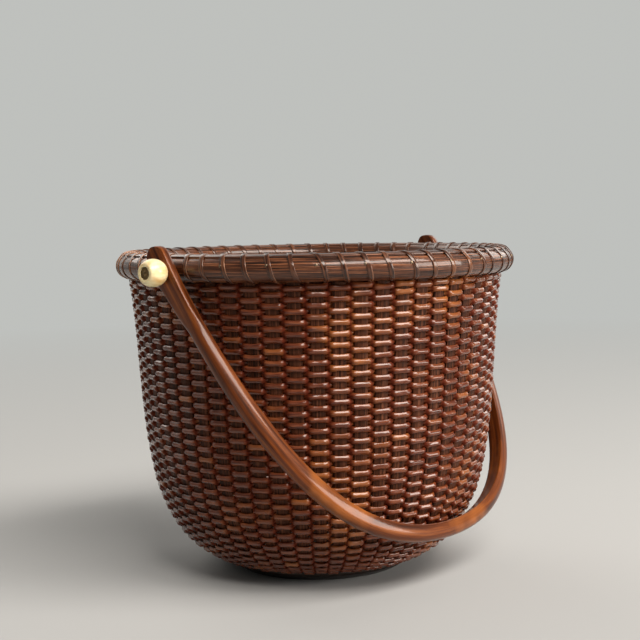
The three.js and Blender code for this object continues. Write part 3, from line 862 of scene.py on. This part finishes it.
def tarnished(name, dark, light, mottle, roughness):
    """Old metal, mottled by a noise whose scale counts per metre."""
    material = bpy.data.materials.new(name)
    material.use_nodes = True
    nodes = material.node_tree.nodes
    link = material.node_tree.links.new
    shader = nodes["Principled BSDF"]
    shader.inputs["Metallic"].default_value = 1
    shader.inputs["Roughness"].default_value = roughness
    place = nodes.new("ShaderNodeTexCoord")
    noise = nodes.new("ShaderNodeTexNoise")
    noise.inputs["Scale"].default_value = mottle
    ramp = nodes.new("ShaderNodeValToRGB")
    ramp.color_ramp.elements[0].color = (*dark, 1)
    ramp.color_ramp.elements[1].color = (*light, 1)
    link(place.outputs["Object"], noise.inputs["Vector"])
    link(noise.outputs["Fac"], ramp.inputs["Fac"])
    link(ramp.outputs["Color"], shader.inputs["Base Color"])
    return material


brads = join_pieces(brads, "rim_brads")
smooth(brads)
brads.data.materials.append(tarnished(
    "dark_brad_metal", (0.09, 0.06, 0.04), (0.4, 0.3, 0.2), mottle=900, roughness=0.3))
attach(brads, "basket")

# A pivot pin goes through the rim, the handle's ear and the knob on each side. It has a
# small head and a washer inside the rim, and its end is peened in the knob's recess.
pivot_height = frame["joints"][0]["pos_m"][2]


def laid_along_x(piece, side):
    """A piece turned about Z is laid along X at the pivot's height, facing out."""
    bpy.ops.object.select_all(action="DESELECT")
    piece.select_set(True)
    bpy.context.view_layer.objects.active = piece
    piece.rotation_euler.y = side * math.pi / 2
    piece.location.z = pivot_height
    bpy.ops.object.transform_apply(location=True, rotation=True, scale=True)


pin_material = tarnished(
    "aged_pin_brass", (0.06, 0.035, 0.015), (0.3, 0.2, 0.09), mottle=700, roughness=0.38)
pin_radius = 1.8 * MM
pin_head_radius = 2.7 * MM
pin_head_thickness = 1 * MM
pin_end_radius = 2.7 * MM
washer_radius = 3 * MM
washer_bore = 2.1 * MM
washer_edge = 0.15 * MM
for side, side_name in ((-1, "left"), (1, "right")):
    pin_low, pin_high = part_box("pivot_pin_" + side_name)
    inner_end = min(abs(pin_low.x), abs(pin_high.x))
    outer_end = max(abs(pin_low.x), abs(pin_high.x))
    pin = turned("pin_" + side_name, [
        (0, inner_end),
        (pin_head_radius * 0.6, inner_end + 0.1 * MM),
        (pin_head_radius * 0.9, inner_end + 0.4 * MM),
        (pin_head_radius, inner_end + pin_head_thickness),
        (pin_radius, inner_end + pin_head_thickness),
        (pin_radius, outer_end - 0.6 * MM),
        (pin_end_radius, outer_end - 0.5 * MM),
        (pin_end_radius, outer_end + 0.2 * MM),
        (pin_end_radius * 0.8, outer_end + 0.3 * MM),
        (pin_end_radius * 0.45, outer_end + 0.1 * MM),
        (pin_end_radius * 0.3, outer_end + 0.45 * MM),
        (0, outer_end + 0.5 * MM),
    ])
    washer_low, washer_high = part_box("inner_washer_" + side_name)
    washer_inner = min(abs(washer_low.x), abs(washer_high.x))
    washer_outer = max(abs(washer_low.x), abs(washer_high.x))
    washer = turned("washer_" + side_name, [
        (washer_bore, washer_inner),
        (washer_radius, washer_inner),
        (washer_radius, washer_outer),
        (washer_bore, washer_outer),
    ], edge=washer_edge)
    for piece, node in ((pin, "pivot_pin_"), (washer, "inner_washer_")):
        laid_along_x(piece, side)
        piece.data.materials.append(pin_material)
        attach(piece, "basket")
        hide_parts(node + side_name)

# The handle is one bent length of wood. Its ears are flat and round-ended at the pins. Its
# legs are fuller and rounded on the outside, and it hangs as a loop that leans on the wall.
ear_middle = 105.15 * MM
handle_depth = 152.5 * MM
leg_pull = 108.8 * MM
leg_lean = 4.9 * MM
grip_pull = 67 * MM
ear_reach = 13.5 * MM
ear_width = 12.4 * MM
ear_back = 0.6 * MM
ear_back_ends = 0.06
ear_bluntness = 0.02
handle_swing = math.radians(32.42)
handle_cuts = 160
handle_sides = 32
leg_steps = 200
share_at = (0, 0.06, 0.14, 0.4, 1)
thickness_at = np.array((4.4, 4.3, 5, 8.2, 7)) * MM
width_at = np.array((12.4, 10, 9, 8.8, 8.8)) * MM
outer_roundness_at = (9, 9, 2.5, 2.2, 2.2)
outer_share_at = (0.5, 0.5, 0.82, 0.86, 0.86)
outer_fall_at = (0, 0, 0.2, 0.25, 0.25)
inner_roundness = 7
dome_share = 0.1

leg = interpolate_bezier(
    Vector((ear_middle, 0)),
    Vector((ear_middle - leg_lean, -leg_pull)),
    Vector((grip_pull, -handle_depth)),
    Vector((0, -handle_depth)),
    leg_steps,
)
half = [Vector((ear_middle, ear_reach))] + [Vector(point[:2]) for point in leg]
whole = [Vector((-point.x, point.y)) for point in half] + half[-2::-1]
handle_line = np.array([point[:2] for point in whole])
handle_steps_long = np.linalg.norm(np.diff(handle_line, axis=0), axis=1)
handle_length = np.concatenate(([0], np.cumsum(handle_steps_long)))
handle_slope = np.gradient(handle_line, handle_length, axis=0)
full_length = handle_length[-1]

bpy.ops.object.select_all(action="DESELECT")
bpy.ops.mesh.primitive_cylinder_add(
    vertices=handle_sides, radius=1, depth=full_length, rotation=(0, math.pi / 2, 0))
handle = bpy.context.object
handle.name = "bent_handle"
bpy.ops.object.transform_apply(location=True, rotation=True, scale=True)
bpy.ops.object.mode_set(mode="EDIT")
bpy.ops.mesh.select_mode(type="EDGE")
bpy.ops.mesh.select_all(action="DESELECT")
bpy.ops.object.mode_set(mode="OBJECT")
for each in handle.data.edges:
    a, b = (handle.data.vertices[i].co for i in each.vertices)
    each.select = bool(abs(a.x - b.x) > full_length / 2)
bpy.ops.object.mode_set(mode="EDIT")
bpy.ops.mesh.subdivide(number_cuts=handle_cuts)
bpy.ops.object.mode_set(mode="OBJECT")

flat = vertex_places(handle)
end_radius = ear_width / 2
end_share = 1 - np.abs(flat[:, 0]) / (full_length / 2)
in_dome = np.clip(end_share / dome_share, 0, 1)
past_dome = np.clip((end_share - dome_share) / (1 - dome_share), 0, 1)
from_end = end_radius * in_dome**2 + (full_length / 2 - end_radius) * past_dome
along = np.where(flat[:, 0] < 0, from_end, full_length - from_end)
leg_share = np.clip((from_end - ear_reach) / (full_length / 2 - ear_reach), 0, 1)
thickness = np.interp(leg_share, share_at, thickness_at)
width = np.interp(leg_share, share_at, width_at)
into_end = np.clip(1 - from_end / end_radius, 0, 1)
width = width * np.sqrt(np.clip(1 - into_end**2, ear_bluntness, 1))
around = np.arctan2(flat[:, 2], flat[:, 1])
is_outer = np.cos(around) > 0
outer_share = np.interp(leg_share, share_at, outer_share_at)
outer_roundness = np.interp(leg_share, share_at, outer_roundness_at)
fall = np.interp(leg_share, share_at, outer_fall_at)
squarer = 2 / np.where(is_outer, outer_roundness, inner_roundness)
depth = thickness * np.where(is_outer, outer_share, 1 - outer_share)
across = np.sign(np.cos(around)) * np.abs(np.cos(around)) ** squarer * depth
outward = np.clip(across / depth, 0, 1)
across = across - thickness * (outer_share - 0.5)
narrow = 1 - ((outward + fall) / (1 + fall)) ** outer_roundness
narrow = (narrow / (1 - (fall / (1 + fall)) ** outer_roundness)) ** (1 / outer_roundness)
narrow = np.where(is_outer, narrow, np.abs(np.sin(around)) ** squarer)
through = np.sign(np.sin(around)) * narrow * width / 2
through = through + ear_back * np.interp(leg_share, (0, ear_back_ends), (1, 0))
place_x = np.interp(along, handle_length, handle_line[:, 0])
place_z = np.interp(along, handle_length, handle_line[:, 1])
slope_x = np.interp(along, handle_length, handle_slope[:, 0])
slope_z = np.interp(along, handle_length, handle_slope[:, 1])
slope_size = np.hypot(slope_x, slope_z)
plane_x = place_x + across * slope_z / slope_size
plane_z = place_z - across * slope_x / slope_size
swung_y = through * math.cos(handle_swing) + plane_z * math.sin(handle_swing)
swung_z = plane_z * math.cos(handle_swing) - through * math.sin(handle_swing)
note_layout(handle, np.column_stack((along, across, through)))
set_places(handle, np.column_stack((plane_x, swung_y, swung_z + pivot_height)))
bpy.ops.object.mode_set(mode="EDIT")
bpy.ops.mesh.select_all(action="SELECT")
bpy.ops.mesh.normals_make_consistent(inside=False)
bpy.ops.object.mode_set(mode="OBJECT")
smooth(handle, 60)
handle.data.materials.append(varnished(
    "polished_handle_wood",
    (0.036, 0.007, 0.001), (0.12, 0.028, 0.005), (0.25, 0.07, 0.012),
    grain=(18, 420, 420), bump=0.04, gloss=0.24, specular=0.18, coat=0.4,
    wear=(0.33, 0.1, 0.018),
))
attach(handle, "handle")
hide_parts("swing_handle")

# The knobs are turned bone, swelled like a barrel, with a round recess in the outer face.
knob_radius = 6.5 * MM
knob_face_radius = 4.4 * MM
knob_recess_radius = 2.9 * MM
knob_recess_depth = 1.4 * MM
knob_bore = 2.1 * MM
knob_edge = 0.35 * MM
knob_points = 14
bone = bpy.data.materials.new("polished_bone")
bone.use_nodes = True
bone_nodes = bone.node_tree.nodes
bone_link = bone.node_tree.links.new
bone_shader = bone_nodes["Principled BSDF"]
bone_place = bone_nodes.new("ShaderNodeTexCoord")
bone_stretch = bone_nodes.new("ShaderNodeMapping")
bone_stretch.inputs["Scale"].default_value = (60, 320, 320)
bone_noise = bone_nodes.new("ShaderNodeTexNoise")
bone_noise.inputs["Scale"].default_value = 1
bone_noise.inputs["Detail"].default_value = 4
bone_ramp = bone_nodes.new("ShaderNodeValToRGB")
bone_ramp.color_ramp.elements[0].position = 0.3
bone_ramp.color_ramp.elements[0].color = (0.76, 0.49, 0.19, 1)
bone_ramp.color_ramp.elements[1].position = 0.62
bone_ramp.color_ramp.elements[1].color = (0.92, 0.8, 0.47, 1)
bone_link(bone_place.outputs["Object"], bone_stretch.inputs["Vector"])
bone_link(bone_stretch.outputs[0], bone_noise.inputs["Vector"])
bone_link(bone_noise.outputs["Fac"], bone_ramp.inputs["Fac"])
bone_link(bone_ramp.outputs["Color"], bone_shader.inputs["Base Color"])
bone_shader.inputs["Roughness"].default_value = 0.32
bone_shader.inputs["Subsurface Weight"].default_value = 0.1
bone_shader.inputs["Subsurface Radius"].default_value = (1, 0.7, 0.4)
bone_shader.inputs["Subsurface Scale"].default_value = 2 * MM
bone_shader.inputs["Coat Weight"].default_value = 0.3
bone_shader.inputs["Coat Roughness"].default_value = 0.15
for side, side_name in ((-1, "left"), (1, "right")):
    knob_low, knob_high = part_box("knob_" + side_name)
    knob_inner = min(abs(knob_low.x), abs(knob_high.x))
    knob_outer = max(abs(knob_low.x), abs(knob_high.x))
    knob_middle = (knob_inner + knob_outer) / 2
    outline = [(knob_bore, knob_inner)]
    edge_angle = math.acos(knob_face_radius / knob_radius)
    for i in range(knob_points + 1):
        angle = edge_angle * (2 * i / knob_points - 1)
        height = knob_middle + (knob_outer - knob_inner) / 2 * math.sin(angle) / math.sin(edge_angle)
        outline.append((knob_radius * math.cos(angle), height))
    outline += [
        (knob_recess_radius, knob_outer),
        (knob_recess_radius, knob_outer - knob_recess_depth),
        (knob_bore, knob_outer - knob_recess_depth),
    ]
    knob = turned("bone_knob_" + side_name, outline, edge=knob_edge)
    laid_along_x(knob, side)
    knob.data.materials.append(bone)
    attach(knob, "basket")
    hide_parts("knob_" + side_name)
